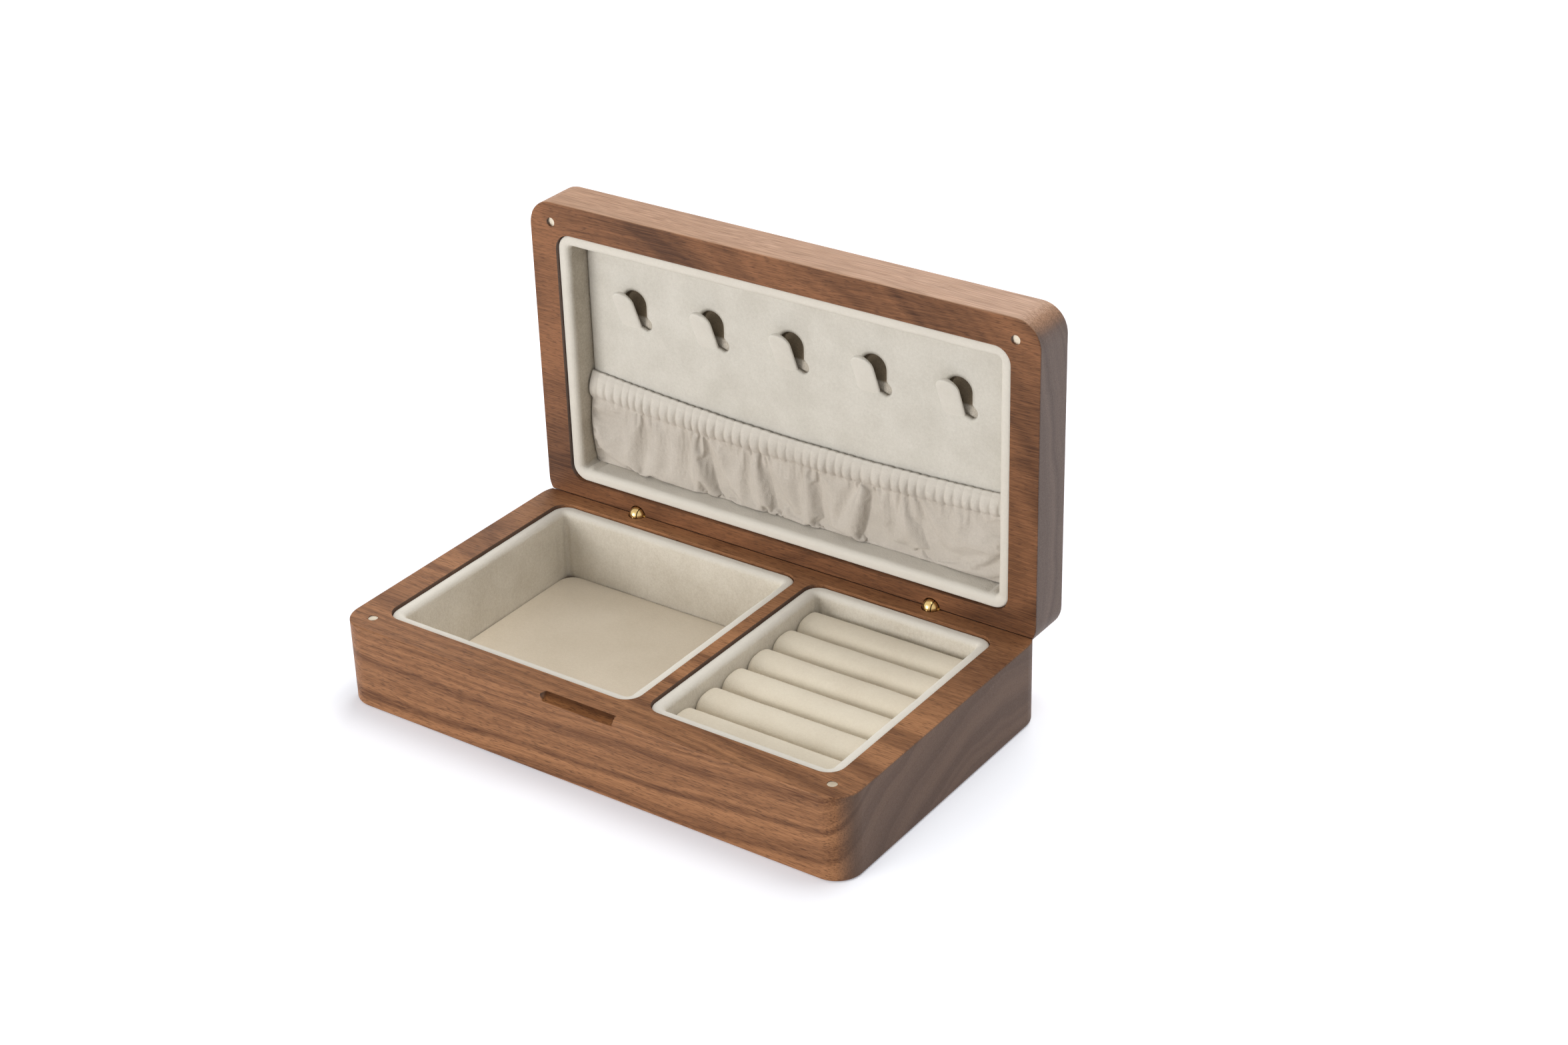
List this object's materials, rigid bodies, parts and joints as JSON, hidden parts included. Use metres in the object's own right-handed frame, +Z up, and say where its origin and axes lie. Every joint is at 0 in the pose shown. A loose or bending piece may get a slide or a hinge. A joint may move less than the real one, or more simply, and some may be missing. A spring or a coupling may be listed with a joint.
{
  "type": "jewellery box",
  "caption": "Walnut jewellery box, lid open: velvet-lined tray, ring-roll tray, necklace hooks and a gathered pocket in the lid, barrel hinges and magnets to close it.",
  "frame": {"origin": "centre of the base's underside, on the surface that the box stands on", "axes": "+X to the right of the box seen from its front, +Y to the hinge side, +Z up"},
  "size_m": [0.2, 0.128, 0.1412],
  "materials": {
    "walnut": "satin oil over open walnut grain",
    "liner_velvet": "short-pile grey-cream velvet",
    "cushion_velvet": "short-pile cream velvet over foam and card",
    "pocket_velvet": "soft thin velvet, gathered",
    "elastic": "woven elastic strip",
    "backing_card": "thin tan flocked card",
    "nickel": "nickel plate, satin",
    "brass": "polished brass"
  },
  "bodies": {
    "base": {"base_case": "walnut", "tray_wall_liner": "liner_velvet", "tray_floor_card": "cushion_velvet", "ring_wall_liner": "liner_velvet", "ring_floor_card": "cushion_velvet", "ring_roll_1": "cushion_velvet", "ring_roll_2": "cushion_velvet", "ring_roll_3": "cushion_velvet", "ring_roll_4": "cushion_velvet", "ring_roll_5": "cushion_velvet", "ring_roll_6": "cushion_velvet", "base_magnet_left": "nickel", "base_magnet_right": "nickel", "hinge_fork_left": "brass", "hinge_fork_right": "brass", "hinge_pin_left": "brass", "hinge_pin_right": "brass"},
    "lid": {"lid_case": "walnut", "lid_wall_liner": "liner_velvet", "panel_backing": "backing_card", "hook_panel": "liner_velvet", "gathered_pocket": "pocket_velvet", "pocket_header": "pocket_velvet", "pocket_elastic": "elastic", "lid_magnet_left": "nickel", "lid_magnet_right": "nickel", "hinge_tongue_left": "brass", "hinge_tongue_right": "brass"}
  },
  "joints": [
    {"name": "lid_hinge", "type": "hinge", "parent": "base", "child": "lid", "pos_m": [0, 0.05285, 0.03065], "axis": [1, 0, 0], "range_deg": [0, 90]}
  ]
}
